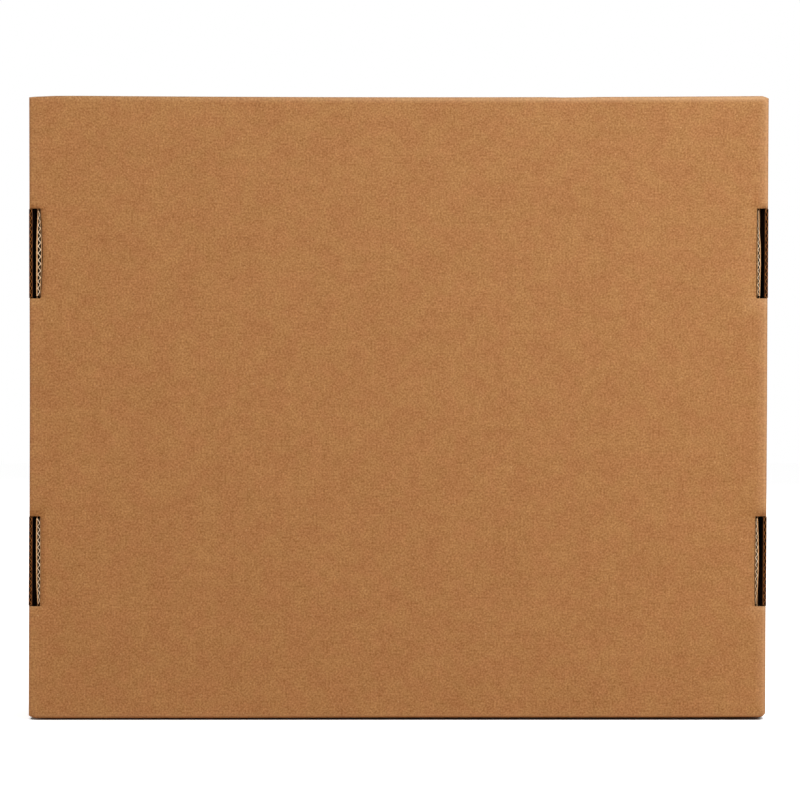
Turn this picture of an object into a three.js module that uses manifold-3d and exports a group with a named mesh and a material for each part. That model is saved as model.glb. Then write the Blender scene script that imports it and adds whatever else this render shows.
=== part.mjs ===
// A corrugated mailer box: a roll-end tray with lock tabs and a tuck-in lid.
// It is folded from one die-cut sheet of single-wall board, without glue or tape.
//
// Millimetres, +Z up. The pieces are drawn with the box lying on its bottom panel: x runs along the
// box, y from the back wall to the front wall, and z up from the bottom. The last lines turn the box
// up to stand on its front wall, with the bottom panel facing -Y and the lid's hinge at the top.

import * as THREE from "three";
import { mergeVertices } from "three/addons/utils/BufferGeometryUtils.js";
import Module from "manifold-3d";

const wasm = await Module();
wasm.setup();

// The space inside the closed box.
const insideLength = 355.6;
const insideWidth = 304.8;
const insideDepth = 76.2;

// The board and its folds.
const boardThickness = 1.6;
const foldRadius = 0.6; // inside radius of a crease
const foldSteps = 5;
const cutGap = 0.3; // between a cut edge and what it meets
const linerThickness = 0.25;
const mediumThickness = 0.2;
const flutePitch = 3.46;
const fluteDepth = 3; // how far the open flutes at the slots reach in

// The hollow side walls, with the ears of the front and back walls inside them.
const earClearance = 0.2; // between an ear and the wall on either side of it
const earLength = 80;
const earTaper = 8; // how much shorter the ear is at its top
const earCorner = 6;
const earFoot = 0.8; // above the bottom panel
const earHeadroom = 0.8; // below the rolled-over top
const outerWallInset = 0.3; // from the outer wall's upright edges to the front and back faces
const innerWallEndGap = 0.6; // between the inner wall's ends and the front and back walls

// The lock tabs and their slots.
const tabLength = 42.8;
const tabSpacing = 152;
const tabCorner = 1.2;
const tabInset = 0.2; // from the bottom's outer face in to the tab's end
const slotEndClearance = 0.6;
const slotSideClearance = 0.3;
const wallCutInset = 0.4; // from the bottom's outer face in to the outer wall's edge at a slot

// The lid, its dust flaps and its tuck flap.
const frontWallInset = 0.4; // from the lid's face down to the front wall's top edge
const lidSideClearance = 0.5;
const dustFlapFoot = 16; // between a dust flap's edge and the bottom panel
const dustFlapTaper = 14;
const dustFlapCorner = 14;
const dustFlapHingeSetback = 8;
const dustFlapFrontSetback = 11;
const tuckFrontClearance = 1.2; // between the tuck flap and the front wall
const tuckSideClearance = 0.9; // between the tuck flap and a dust flap
const tuckFoot = 27; // between the tuck flap's edge and the bottom panel
const tuckTaper = 10;
const tuckCorner = 18;
const tuckTurn = 63; // degrees that the tuck flap folds in towards the lid
const creaseClearance = 0.15; // between the two inner faces when it is folded in

const kraft = 0xb07a4a;

// Sizes that follow from those.
const halfBoard = boardThickness / 2;
const bend = foldRadius + halfBoard; // radius of a fold's mid line
const foldReach = foldRadius + boardThickness; // outside radius of a fold
const sideGap = boardThickness + 2 * earClearance;
const sideDepth = 2 * boardThickness + sideGap;
const outsideLength = insideLength + 2 * sideDepth;
const outsideWidth = insideWidth + 2 * boardThickness;
const outsideHeight = insideDepth + 2 * boardThickness;

// Mid lines of the panels.
const bottomZ = halfBoard;
const topZ = outsideHeight - halfBoard;
const wallY = outsideWidth / 2 - halfBoard;
const outerWallX = outsideLength / 2 - halfBoard;
const innerWallX = insideLength / 2 + halfBoard;
const earX = outerWallX - boardThickness - earClearance;
const dustFlapX = insideLength / 2 - lidSideClearance - halfBoard;
const tuckY = insideWidth / 2 - tuckFrontClearance - halfBoard;

// Which way an outline's own two directions and its extrusion run, for each axis.
const X = new THREE.Vector3(1, 0, 0);
const Y = new THREE.Vector3(0, 1, 0);
const Z = new THREE.Vector3(0, 0, 1);
const outlinePlanes = {
  x: new THREE.Matrix4().makeBasis(Y, Z, X), // outline in y and z
  y: new THREE.Matrix4().makeBasis(X, Z, Y.clone().negate()), // outline in x and z
  z: new THREE.Matrix4().makeBasis(X, Y, Z), // outline in x and y
};

// A closed geometry as a solid that can be joined and cut.
function toSolid(geometry) {
  geometry.deleteAttribute("normal");
  geometry.deleteAttribute("uv");
  const merged = mergeVertices(geometry, 1e-5);
  const vertProperties = new Float32Array(merged.attributes.position.array);
  const triVerts = new Uint32Array(merged.index.array);
  return new wasm.Manifold(new wasm.Mesh({ numProp: 3, vertProperties, triVerts }));
}

// An outline extruded along an axis, from one place on it to another.
function extruded(outline, axis, from, to) {
  const shape = new THREE.Shape(withoutRepeats(outline));
  const geometry = new THREE.ExtrudeGeometry(shape, { depth: to - from, bevelEnabled: false });
  geometry.applyMatrix4(outlinePlanes[axis]);
  if (axis === "x") geometry.translate(from, 0, 0);
  if (axis === "y") geometry.translate(0, to, 0);
  if (axis === "z") geometry.translate(0, 0, from);
  return toSolid(geometry);
}

function block(low, high) {
  const outline = [
    [low[0], low[1]],
    [high[0], low[1]],
    [high[0], high[1]],
    [low[0], high[1]],
  ];
  return extruded(toPoints(outline), "z", low[2], high[2]);
}

// Two rounded corners that meet leave the same point twice.
function withoutRepeats(outline) {
  return outline.filter((point, i) => point.distanceTo(outline.at(i - 1)) > 1e-6);
}

function toPoints(pairs) {
  return pairs.map(([u, v]) => new THREE.Vector2(u, v));
}

// An outline with its corners rounded: each corner is [u, v] or [u, v, radius].
function rounded(corners) {
  const points = [];
  corners.forEach(([u, v, radius], i) => {
    const corner = new THREE.Vector2(u, v);
    if (!radius) {
      points.push(corner);
      return;
    }
    const before = corners[(i + corners.length - 1) % corners.length];
    const after = corners[(i + 1) % corners.length];
    const back = new THREE.Vector2(before[0], before[1]).sub(corner).normalize();
    const on = new THREE.Vector2(after[0], after[1]).sub(corner).normalize();
    const halfAngle = Math.acos(back.dot(on)) / 2;
    const tangent = radius / Math.tan(halfAngle);
    const start = back.clone().multiplyScalar(tangent).add(corner);
    const end = on.clone().multiplyScalar(tangent).add(corner);
    const centre = back.add(on).setLength(radius / Math.sin(halfAngle)).add(corner);
    const from = start.sub(centre).angle();
    const turn = Math.atan2(Math.sin(end.clone().sub(centre).angle() - from),
      Math.cos(end.clone().sub(centre).angle() - from));
    for (let step = 0; step <= foldSteps; step++) {
      const angle = from + (turn * step) / foldSteps;
      points.push(new THREE.Vector2(Math.cos(angle), Math.sin(angle)).multiplyScalar(radius).add(centre));
    }
  });
  return points;
}

// The section of a folded board, from the corners of its mid line. Its two faces run
// half a thickness to either side, and every corner is a fold with the same inside radius.
function foldedBoard(midLine) {
  const left = [];
  const right = [];
  const addFaces = (point, heading) => {
    const across = new THREE.Vector2(-Math.sin(heading), Math.cos(heading)).multiplyScalar(halfBoard);
    left.push(point.clone().add(across));
    right.push(point.clone().sub(across));
  };
  const corners = toPoints(midLine);
  const headings = corners.slice(1).map((corner, i) => corner.clone().sub(corners[i]).angle());
  addFaces(corners[0], headings[0]);
  for (let i = 1; i < corners.length - 1; i++) {
    const heading = headings[i - 1];
    const turn = Math.atan2(Math.sin(headings[i] - heading), Math.cos(headings[i] - heading));
    const side = Math.sign(turn);
    const tangent = bend * Math.tan(Math.abs(turn) / 2);
    const along = new THREE.Vector2(Math.cos(heading), Math.sin(heading));
    const inward = new THREE.Vector2(-Math.sin(heading), Math.cos(heading)).multiplyScalar(side);
    const centre = corners[i].clone().addScaledVector(along, -tangent).addScaledVector(inward, bend);
    for (let step = 0; step <= foldSteps; step++) {
      const angle = heading + (turn * step) / foldSteps;
      const outward = new THREE.Vector2(Math.sin(angle), -Math.cos(angle)).multiplyScalar(side * bend);
      addFaces(outward.add(centre), angle);
    }
  }
  addFaces(corners.at(-1), headings.at(-1));
  return [...left, ...right.reverse()];
}

// The open flutes of a board's cut edge that faces down, as the solids to cut out of it. The
// medium is a wave between the two liners, so its hollows open to one liner and the other in turn.
function openFlutes(x, yFrom, yTo, z) {
  const inner = halfBoard - linerThickness;
  const trough = mediumThickness - inner;
  const wide = (flutePitch - mediumThickness) * 0.38;
  const narrow = wide * 0.4;
  const hollows = [];
  const count = Math.floor((yTo - yFrom) / (flutePitch / 2) - 1);
  const first = (yFrom + yTo) / 2 - ((count - 1) / 2) * (flutePitch / 2);
  for (let i = 0; i < count; i++) {
    const y = first + (i * flutePitch) / 2;
    const side = i % 2 ? 1 : -1;
    const outline = [
      [x + side * inner, y - side * wide],
      [x + side * inner, y + side * wide],
      [x + side * trough, y + side * narrow],
      [x + side * trough, y - side * narrow],
    ];
    hollows.push(extruded(toPoints(outline), "z", z - cutGap, z + fluteDepth));
  }
  return wasm.Manifold.union(hollows);
}

// Bottom panel and outer side walls, with the panel's corners rounded as its folds are.
function makeSideBand() {
  const top = topZ - halfBoard - foldRadius;
  const section = foldedBoard([
    [-outerWallX, top],
    [-outerWallX, bottomZ],
    [outerWallX, bottomZ],
    [outerWallX, top],
  ]);
  const reach = outsideWidth / 2 - outerWallInset;
  const profile = rounded([
    [-reach, outsideHeight],
    [-reach, 0, foldReach],
    [reach, 0, foldReach],
    [reach, outsideHeight],
  ]);
  return extruded(section, "y", -outsideWidth, outsideWidth)
    .intersect(extruded(profile, "x", -outsideLength, outsideLength));
}

// The outer walls rolled over at their tops into the inner walls.
function makeRolledWall(side) {
  const section = foldedBoard([
    [side * outerWallX, insideDepth / 2],
    [side * outerWallX, topZ],
    [side * innerWallX, topZ],
    [side * innerWallX, boardThickness + cutGap],
  ]);
  const reach = insideWidth / 2 - innerWallEndGap;
  return extruded(section, "y", -reach, reach);
}

// Bottom panel with the front and back walls, up to where the ears fold away from them.
function makeCrossBand() {
  const section = foldedBoard([
    [-wallY, topZ - halfBoard - cutGap],
    [-wallY, bottomZ],
    [wallY, bottomZ],
    [wallY, outsideHeight - frontWallInset],
  ]);
  const reach = earX - bend;
  return extruded(section, "x", -reach, reach);
}

// One ear with the upright fold that joins it to the front wall (end 1) or the back wall (end -1).
function makeEar(side, end) {
  const low = boardThickness + earFoot;
  const high = topZ - halfBoard - earHeadroom;
  const tip = outsideWidth / 2 - earLength;
  const section = foldedBoard([
    [side * (earX - bend - cutGap), end * wallY],
    [side * earX, end * wallY],
    [side * earX, end * (tip - cutGap)],
  ]);
  const outline = rounded([
    [end * outsideWidth, low],
    [end * tip, low, earCorner],
    [end * (tip + earTaper), high, earCorner],
    [end * outsideWidth, high],
  ]);
  return extruded(section, "z", 0, outsideHeight)
    .intersect(extruded(outline, "x", -outsideLength, outsideLength));
}

// One slot of the bottom panel: it is cut from the outer wall's face inwards, through the fold.
function makeSlot(side, y) {
  const xs = [outsideLength / 2 - sideDepth - slotSideClearance, outsideLength / 2 + cutGap];
  const reach = tabLength / 2 + slotEndClearance;
  const x = side > 0 ? xs : [-xs[1], -xs[0]];
  return block([x[0], y - reach, -cutGap], [x[1], y + reach, foldReach]);
}

// The outer wall's own edge beside a slot, which the fold leaves standing straight.
function makeWallEdge(side, y) {
  const reach = tabLength / 2 + slotEndClearance;
  const x = side * outerWallX;
  return block(
    [x - halfBoard, y - reach, wallCutInset],
    [x + halfBoard, y + reach, foldReach + cutGap],
  );
}

// A lock tab at the foot of the inner wall.
function makeTab(side, y) {
  const outline = rounded([
    [y - tabLength / 2, foldReach + boardThickness],
    [y - tabLength / 2, tabInset, tabCorner],
    [y + tabLength / 2, tabInset, tabCorner],
    [y + tabLength / 2, foldReach + boardThickness],
  ]);
  const x = side * innerWallX;
  return extruded(outline, "x", x - halfBoard, x + halfBoard);
}

function makeTray() {
  let tray = makeSideBand().add(makeCrossBand());
  for (const side of [-1, 1]) {
    tray = tray.add(makeRolledWall(side));
    for (const end of [-1, 1]) {
      const y = (end * tabSpacing) / 2;
      const edge = tabLength / 2 + slotEndClearance;
      const tab = tabLength / 2 - tabCorner;
      tray = tray
        .add(makeEar(side, end))
        .subtract(makeSlot(side, y))
        .add(makeWallEdge(side, y))
        .add(makeTab(side, y))
        .subtract(openFlutes(side * outerWallX, y - edge, y + edge, wallCutInset))
        .subtract(openFlutes(side * innerWallX, y - tab, y + tab, tabInset));
    }
  }
  return tray;
}

// Where the two boards of the tuck crease are crushed thin on the inside, so that they fold
// together: how far from the crease that starts, and how much board is left at the edge.
const halfFold = THREE.MathUtils.degToRad((90 - tuckTurn) / 2);
const crushReach = (halfBoard + creaseClearance) / Math.tan(halfFold);
const crushEdge = halfBoard + cutGap;
const crushLeft = crushEdge * Math.tan(halfFold) - creaseClearance;

// Lid panel and dust flaps, without the tuck flap. The hinge is the back wall's top crease, where
// the panel has a round edge that turns in place.
function makeLid() {
  const foot = boardThickness + dustFlapFoot;
  const under = topZ - halfBoard;
  const flapTop = under - foldRadius;
  const front = tuckY - crushEdge;
  const flapBack = -wallY + dustFlapHingeSetback;
  const flapFront = insideWidth / 2 - dustFlapFrontSetback;
  const section = foldedBoard([
    [-dustFlapX, foot],
    [-dustFlapX, topZ],
    [dustFlapX, topZ],
    [dustFlapX, foot],
  ]);
  const outline = rounded([
    [-wallY - halfBoard, topZ + halfBoard, halfBoard],
    [-wallY - halfBoard, under, halfBoard],
    [flapBack, under],
    [flapBack, flapTop],
    [flapBack + dustFlapTaper, foot, dustFlapCorner],
    [flapFront - dustFlapTaper, foot, dustFlapCorner],
    [flapFront, flapTop],
    [flapFront, under],
    [tuckY - crushReach, under],
    [front, topZ - crushLeft],
    [front, topZ + halfBoard],
  ]);
  return extruded(section, "y", -outsideWidth, outsideWidth)
    .intersect(extruded(outline, "x", -outsideLength, outsideLength));
}

// The tuck flap, inside the front wall. It hangs from the lid's front crease, by a round edge.
function makeTuckFlap() {
  const foot = boardThickness + tuckFoot;
  const halfWidth = dustFlapX - halfBoard - tuckSideClearance;
  const section = rounded([
    [tuckY - halfBoard, foot],
    [tuckY + halfBoard, foot],
    [tuckY + halfBoard, topZ + halfBoard, halfBoard],
    [tuckY - halfBoard, topZ + halfBoard, halfBoard],
    [tuckY - halfBoard, topZ],
    [tuckY - crushLeft, topZ - crushEdge],
    [tuckY - halfBoard, topZ - crushReach],
  ]);
  const outline = rounded([
    [-halfWidth, topZ + boardThickness],
    [-halfWidth, topZ - boardThickness],
    [-halfWidth + tuckTaper, foot, tuckCorner],
    [halfWidth - tuckTaper, foot, tuckCorner],
    [halfWidth, topZ - boardThickness],
    [halfWidth, topZ + boardThickness],
  ]);
  return extruded(section, "x", -outsideLength, outsideLength)
    .intersect(extruded(outline, "y", -outsideWidth, outsideWidth));
}

// A solid as a named mesh of bare kraft board.
function toMesh(name, solid) {
  const { vertProperties, triVerts } = solid.getMesh();
  const geometry = new THREE.BufferGeometry();
  geometry.setAttribute("position", new THREE.BufferAttribute(vertProperties, 3));
  geometry.setIndex(new THREE.BufferAttribute(triVerts, 1));
  const material = new THREE.MeshStandardMaterial({ color: kraft, roughness: 0.85, metalness: 0, flatShading: true });
  const mesh = new THREE.Mesh(geometry, material);
  mesh.name = name;
  return mesh;
}

// The box stands on its front wall, in the middle of the origin.
const box = new THREE.Group();
box.add(toMesh("tray", makeTray()));
box.add(toMesh("lid", makeLid()));
box.add(toMesh("tuck_flap", makeTuckFlap()));
box.rotation.x = -Math.PI / 2;
box.position.set(0, -outsideHeight / 2, outsideWidth / 2);

const model = new THREE.Group();
model.add(box);

export default model;
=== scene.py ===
# %% [markdown]
# A corrugated mailer box, dressed for the camera
#
# The box is one die-cut sheet of corrugated board. This lesson makes it the way the factory does:
# it draws the flat blank, cuts the two paper liners and the fluted medium to it, and folds them.
# Because every layer goes through the same fold, the liners, the flutes at the cut edges and the
# pattern of the paper stay together at every crease.

# %% The frame and Blender's own modules
import math

import bpy
import numpy as np
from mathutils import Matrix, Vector
from mathutils.geometry import delaunay_2d_cdt


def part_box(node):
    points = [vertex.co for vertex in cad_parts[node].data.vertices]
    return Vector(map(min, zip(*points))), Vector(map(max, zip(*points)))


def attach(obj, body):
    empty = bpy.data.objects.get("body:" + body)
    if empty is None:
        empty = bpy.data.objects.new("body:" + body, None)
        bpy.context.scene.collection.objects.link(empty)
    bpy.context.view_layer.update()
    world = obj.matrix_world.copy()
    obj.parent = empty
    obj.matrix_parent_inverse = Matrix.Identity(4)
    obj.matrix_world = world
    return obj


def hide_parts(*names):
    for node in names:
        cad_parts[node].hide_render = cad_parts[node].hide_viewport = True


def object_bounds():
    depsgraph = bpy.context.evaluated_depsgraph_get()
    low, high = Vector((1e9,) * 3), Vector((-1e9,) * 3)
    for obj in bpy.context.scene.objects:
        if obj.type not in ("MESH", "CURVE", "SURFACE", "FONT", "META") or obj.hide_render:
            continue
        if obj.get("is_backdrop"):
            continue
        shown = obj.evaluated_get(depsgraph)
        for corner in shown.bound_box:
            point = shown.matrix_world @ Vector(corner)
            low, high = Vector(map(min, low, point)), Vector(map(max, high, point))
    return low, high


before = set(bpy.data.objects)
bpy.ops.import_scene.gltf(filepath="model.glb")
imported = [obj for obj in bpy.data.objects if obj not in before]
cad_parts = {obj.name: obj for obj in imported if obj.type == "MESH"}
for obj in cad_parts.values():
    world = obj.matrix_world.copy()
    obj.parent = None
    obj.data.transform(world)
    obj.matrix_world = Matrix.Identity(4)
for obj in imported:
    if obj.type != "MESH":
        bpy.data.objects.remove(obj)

cad_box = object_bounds()
MM = 0.001

# %% [markdown]
# Sizes
#
# The outside of the box comes from the frame, so the picture can't drift away from the model. The
# board's own sizes are the few that a box maker would quote.

# %% The box and its board
tray_low, tray_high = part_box("tray")
LENGTH = tray_high.x - tray_low.x
DEPTH = tray_high.y - tray_low.y
WIDTH = tray_high.z - tray_low.z

BOARD = 1.6 * MM
LINER = 0.25 * MM
HALF = BOARD / 2
FLUTE_PITCH = 3.46 * MM
CREASE = 0.6 * MM  # inside radius of a fold
BEND = CREASE + HALF  # radius of a fold's mid line
ARC = BEND * math.pi / 2  # length of board in a square fold
FOLD_STEPS = 7

EAR_CLEARANCE = 0.2 * MM
SIDE_DEPTH = 3 * BOARD + 2 * EAR_CLEARANCE
BOTTOM_Z = HALF
TOP_Z = DEPTH - HALF
WALL_Y = WIDTH / 2 - HALF
OUTER_X = LENGTH / 2 - HALF
INNER_X = LENGTH / 2 - SIDE_DEPTH + HALF
EAR_X = OUTER_X - BOARD - EAR_CLEARANCE
print(f"box {LENGTH / MM:.1f} x {WIDTH / MM:.1f} x {DEPTH / MM:.1f} mm, board {BOARD / MM:.1f} mm")

# %% [markdown]
# The camera
#
# The photograph looks almost straight at the bottom panel, from a little above its middle. A long
# lens 1.5 m away gives the same slight narrowing towards the floor.

# %% Camera
def add_object(name, data):
    """An object in the scene's collection."""
    obj = bpy.data.objects.new(name, data)
    bpy.context.scene.collection.objects.link(obj)
    return obj


CAMERA_AWAY = 1.5
CAMERA_ABOVE = math.radians(1.2)
PICTURE_WIDTH = 0.3943  # width of the picture at the panel
AIM = Vector((0.00095, tray_low.y, 0.15815))

camera_data = bpy.data.cameras.new("camera")
camera_data.sensor_width = 36
camera_data.lens = 36 * CAMERA_AWAY / PICTURE_WIDTH
camera = add_object("camera", camera_data)
camera.location = AIM + CAMERA_AWAY * Vector((0, -math.cos(CAMERA_ABOVE), math.sin(CAMERA_ABOVE)))
camera.rotation_euler = (math.pi / 2 - CAMERA_ABOVE, 0, 0)
bpy.context.scene.camera = camera
print(f"camera with a {camera_data.lens:.0f} mm lens")

# %% [markdown]
# Folding
#
# A folded sheet is a chain of straight runs and round folds. Walking along it by the distance on
# the flat sheet gives the folded place, and stepping sideways the place of each layer. The box
# needs three chains: across the side walls, up the front and back walls, and round into their ears.

# %% Walking along a folded chain
def walk(chain, start, distance, across):
    """Places at a distance along a chain of runs and left-hand folds, and across to its left."""
    place = np.zeros((len(distance), 2))
    point = np.array(start, float)
    heading = 0.0
    begun = 0.0
    for i, (kind, length) in enumerate(chain):
        last = i == len(chain) - 1
        here = distance >= begun - 1e-9 if i else np.full(len(distance), True)
        if not last:
            here = here & (distance < begun + length - 1e-9)
        along = distance[here] - begun
        if kind == "fold":
            left = np.array([-math.sin(heading), math.cos(heading)])
            centre = point + BEND * left
            angle = heading + along / BEND
            radius = BEND - across[here]
            place[here, 0] = centre[0] + radius * np.sin(angle)
            place[here, 1] = centre[1] - radius * np.cos(angle)
            heading += math.pi / 2
            point = centre + BEND * np.array([math.sin(heading), -math.cos(heading)])
        else:
            ahead = np.array([math.cos(heading), math.sin(heading)])
            left = np.array([-ahead[1], ahead[0]])
            place[here] = point + np.outer(along, ahead) + np.outer(across[here], left)
            point = point + length * ahead
        begun += length
    return place


def reaches(chain):
    """How far along the flat sheet each run and fold of a chain ends."""
    ends = []
    total = 0.0
    for _, length in chain:
        total += length
        ends.append(total)
    return ends


SQUARE_FOLD = ("fold", ARC)
SIDE_CHAIN = [
    ("run", OUTER_X - BEND),
    SQUARE_FOLD,
    ("run", TOP_Z - BOTTOM_Z - 2 * BEND),
    SQUARE_FOLD,
    ("run", OUTER_X - INNER_X - 2 * BEND),
    SQUARE_FOLD,
    ("run", DEPTH),
]
WALL_CHAIN = [("run", WALL_Y - BEND), SQUARE_FOLD, ("run", DEPTH)]
EAR_CHAIN = [("run", EAR_X - BEND), SQUARE_FOLD, ("run", WIDTH)]
side = reaches(SIDE_CHAIN)
wall = reaches(WALL_CHAIN)
ear = reaches(EAR_CHAIN)

# %% [markdown]
# The box frame
#
# The box is folded lying on its bottom: x along it, y from the back wall to the front wall, z up.
# Then it is stood up on its front wall. A point of the blank is (u, v) on the sheet and n into it.

# %% Folding the tray
TAB_MIDDLE = 76 * MM
TAB_HALF = 21.4 * MM
SLOT_HALF = TAB_HALF + 0.8 * MM
SLOT_NICK = 0.3 * MM  # the slot's side cuts, either side of the wall's standing edge
SLOT_SIDE = LENGTH / 2 - SIDE_DEPTH - 0.5 * MM
# How far each tab has pressed out its slot's side, at the middle: left or right, back or front.
SLOT_BULGE = {(-1, -1): 1.0 * MM, (1, -1): 0.1 * MM, (-1, 1): 0.3 * MM, (1, 1): 0.25 * MM}
# How far each tab stands off its slot's side.
SLOT_GAP = {(-1, -1): 0.4 * MM, (1, -1): 0.4 * MM, (-1, 1): 0.15 * MM, (1, 1): 0.3 * MM}
WALL_EDGE = side[1] - 1.8 * MM  # where the outer wall's standing edge ends, on the sheet
EAR_FROM = wall[1] + 0.2 * MM
CORNER_CUT = side[0] - 0.9 * MM  # where a side wall's fold takes over from an ear's, on the sheet
DOG_EAR = 2.5 * MM  # how far past it the side wall still follows the front or back wall

RACK_HEIGHTS = np.array([0, 0.15, 0.35, 0.5, 0.65, 1.0]) * WIDTH
RACK_SHIFTS = np.array([-0.55, -0.42, -0.04, 0.17, 0.22, 0.45]) * MM
LIFT_REACH = 2.6 * MM  # how far up the panel the crushed crease reaches
LIFT_PLACES = np.array([-183, -80, 0, 145, 175]) * MM
LIFTS = np.array([0.7, 0.85, 1.1, 1.15, 1.3]) * MM
LIFT_DEPTH = 22 * MM  # how far under the box the front wall bows up
SLACK_HEIGHTS = np.array([0, 0.25, 0.5, 0.75, 1.0]) * WIDTH
SLACK_SHIFTS = np.array([0, 0.65, 0.45, 0.35, 0]) * MM
NARROWER = 1.7 * MM
BOW = 0.17 * MM  # how far the panel's sides curve
# The top's sag and a small dent in it: how deep, where along the box, and how far to either side.
SAG, SAG_MIDDLE, SAG_HALF = 0.7 * MM, 20 * MM, 175 * MM
DENT, DENT_MIDDLE, DENT_HALF = 0.25 * MM, 84 * MM, 7 * MM
SAG_FROM, SAG_SPAN = 250 * MM, 58 * MM  # the height where the sag begins, and how far up it grows
KNOCK_HEIGHT, KNOCK_DEPTH = 12 * MM, 25 * MM  # how far a knocked corner's bend reaches

# How the corners of the standing box are knocked in: along how much, how far, and how suddenly.
CORNER_KNOCKS = {
    (-1, 1): (14 * MM, 0.6 * MM, 1.0),
    (1, 1): (3.3 * MM, 1.15 * MM, 1.2),
    (-1, -1): (4.4 * MM, 1.3 * MM, 1.6),
    (1, -1): (3.8 * MM, 2.2 * MM, 2.9),
}


def knocks(x, y, z):
    """How far up or down the knocked corners move."""
    move = np.zeros(len(x))
    for (side_x, side_z), (reach, drop, power) in CORNER_KNOCKS.items():
        along = np.clip(1 - (LENGTH / 2 - side_x * x) / reach, 0, 1) ** power
        near_end = np.clip(1 - (WIDTH - z if side_z > 0 else z) / KNOCK_HEIGHT, 0, 1)
        near_face = np.clip(1 - (y - tray_low.y) / KNOCK_DEPTH, 0, 1)
        move -= side_z * drop * along * near_end * near_face
    return move


def settled(place):
    """A made box is never quite square: it racks, its top sags and its front wall bows up."""
    x, y, z = place.T
    knock = knocks(x, y, z)
    x = x * (1 - NARROWER / LENGTH)
    lift = np.interp(x, LIFT_PLACES, LIFTS)
    lift = lift * np.clip(1 - z / LIFT_REACH, 0, 1)
    under = np.clip(1 - (y - tray_low.y) / LIFT_DEPTH, 0, 1)
    lift = lift * under * under * (3 - 2 * under)
    sag = SAG * np.clip(1 - ((x - SAG_MIDDLE) / SAG_HALF) ** 2, 0, 1)
    sag += DENT * np.exp(-((x - DENT_MIDDLE) / DENT_HALF) ** 2)
    sag = sag * np.clip((z - SAG_FROM) / SAG_SPAN, 0, 1) ** 2
    bow = -BOW * np.sin(np.pi * np.clip(z / WIDTH, 0, 1)) * x / (LENGTH / 2)
    x = x + np.interp(z, RACK_HEIGHTS, RACK_SHIFTS) + bow
    slack = np.interp(z, SLACK_HEIGHTS, SLACK_SHIFTS)
    return np.column_stack([x, y, z + lift - sag + slack + knock])


def stand_up(x, y, z):
    """From the box frame to the picture's frame, with the small departures of a made box."""
    return settled(np.column_stack([x, z - DEPTH / 2, WIDTH / 2 - y]))


# How far each tab's end is pressed towards the middle of the box, along the tab from its end
# nearest the back wall: left back, right back, left front, right front.
TAB_STEPS = np.array([-21.4, -15, -5, 5, 14, 21.4]) * MM
TAB_PRESS = {
    (-1, -1): np.array([0.85, 0.45, 0.05, 0, 0, 0.05]) * MM,
    (1, -1): np.array([1.6, 1.15, 0.25, 0.05, 0.25, 0.4]) * MM,
    (-1, 1): np.array([0.05, 0, 0.05, 0.1, 0.3, 1.0]) * MM,
    (1, 1): np.array([1.05, 0.55, 0.3, 0.3, 0.75, 1.35]) * MM,
}


def pressed_tabs(u, v, n, x):
    """Tab ends: swollen until they fill their slot, and pressed over where the slot pinches."""
    near_end = np.clip((np.abs(u) - INNER_FOOT + 3 * MM) / (4.7 * MM), 0, 1)
    near_end = near_end * near_end * (3 - 2 * near_end)
    share = np.interp((n + HALF) / BOARD, [0, 0.16, 0.84, 1], [0, 0.1, 0.74, 1])
    for (sign_u, sign_v), press in TAB_PRESS.items():
        along = v - sign_v * TAB_MIDDLE
        tab = (np.sign(u) == sign_u) & (np.abs(along) < TAB_HALF + 0.1 * MM) & (near_end > 0)
        bulge = SLOT_BULGE[sign_u, sign_v] * np.clip(1 - (along / SLOT_HALF) ** 2, 0, 1)
        low = SLOT_SIDE + SLOT_GAP[sign_u, sign_v] - bulge
        high = INNER_X + HALF - np.interp(along, TAB_STEPS, press)
        end = sign_u * (low + share * np.maximum(high - low, 0.5 * MM))
        x = np.where(tab, x + near_end * (end - x), x)
    return x


def fold_tray(u, v, n):
    """The folded place of the tray's sheet at (u, v), n towards the inside of the box."""
    x, y = u.copy(), v.copy()
    z = BOTTOM_Z + n
    in_walls = np.abs(v) > wall[0]
    off_side = np.abs(u) > CORNER_CUT
    sides = off_side & (np.abs(v) < EAR_FROM - 0.05 * MM)
    place = walk(SIDE_CHAIN, (0, BOTTOM_Z), np.abs(u), n)
    standing = sides & (np.abs(u) < side[1]) & (np.abs(np.abs(v) - TAB_MIDDLE) < SLOT_HALF - SLOT_NICK / 2)
    standing &= np.abs(u) > WALL_EDGE - 0.1 * MM
    place[standing, 0] = OUTER_X - n[standing]
    place[standing, 1] = BOTTOM_Z + BEND - (side[1] - np.abs(u[standing]))
    up = walk(WALL_CHAIN, (0, BOTTOM_Z), np.abs(v), n)
    dog_ear = np.clip(1 - (np.abs(u) - CORNER_CUT) / DOG_EAR, 0, 1) * in_walls
    x[sides] = (np.sign(u) * place[:, 0])[sides]
    y[sides] = (v + dog_ear * (np.sign(v) * up[:, 0] - v))[sides]
    z[sides] = (place[:, 1] + dog_ear * (up[:, 1] - BOTTOM_Z - n))[sides]
    walls = in_walls & ~sides
    y[walls] = (np.sign(v) * up[:, 0])[walls]
    z[walls] = up[walls, 1]
    upright = walls & (np.abs(v) > wall[1] - 1e-9)
    round_end = walk(EAR_CHAIN, (0, 0), np.abs(u), n)
    x[upright] = (np.sign(u) * round_end[:, 0])[upright]
    y[upright] = (np.sign(v) * (WALL_Y - round_end[:, 1]))[upright]
    return stand_up(pressed_tabs(u, v, n, x), y, z)


# %% [markdown]
# The tray's blank
#
# The outline is drawn once, for a quarter of the sheet, and mirrored. Its wavy slot edges come from
# the die's toothed cutting rule, which leaves about twelve small scallops to the inch.

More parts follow.
